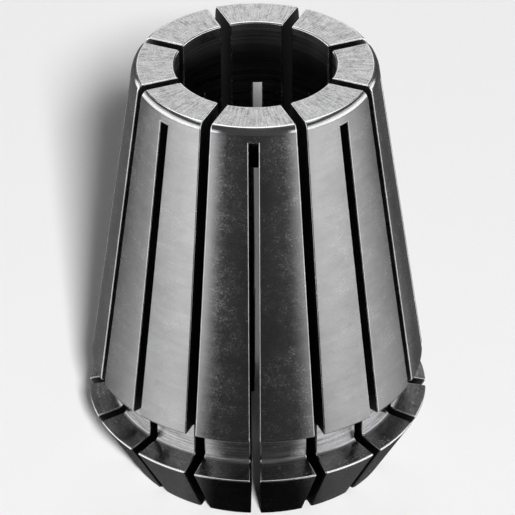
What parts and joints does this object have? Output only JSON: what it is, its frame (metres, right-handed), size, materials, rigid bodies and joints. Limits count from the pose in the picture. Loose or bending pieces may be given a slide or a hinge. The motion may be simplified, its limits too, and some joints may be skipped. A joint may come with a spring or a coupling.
{
  "type": "er collet",
  "caption": "Steel spring collet with a slotted long taper, a nut groove, a short front taper and a straight bore that closes on a round tool shank.",
  "frame": {"origin": "centre of the front face, which the clamping nut closes over; the part stands on this face", "axes": "+Z along the bore axis, from the wide front face to the narrow rear face; a slot that opens at the front face lies at -Y"},
  "size_m": [0.026, 0.026, 0.034],
  "materials": {
    "ground_steel": "hardened spring steel, ground on the tapers and turned in the groove"
  },
  "bodies": {
    "root": {"collet": "ground_steel"}
  },
  "joints": []
}
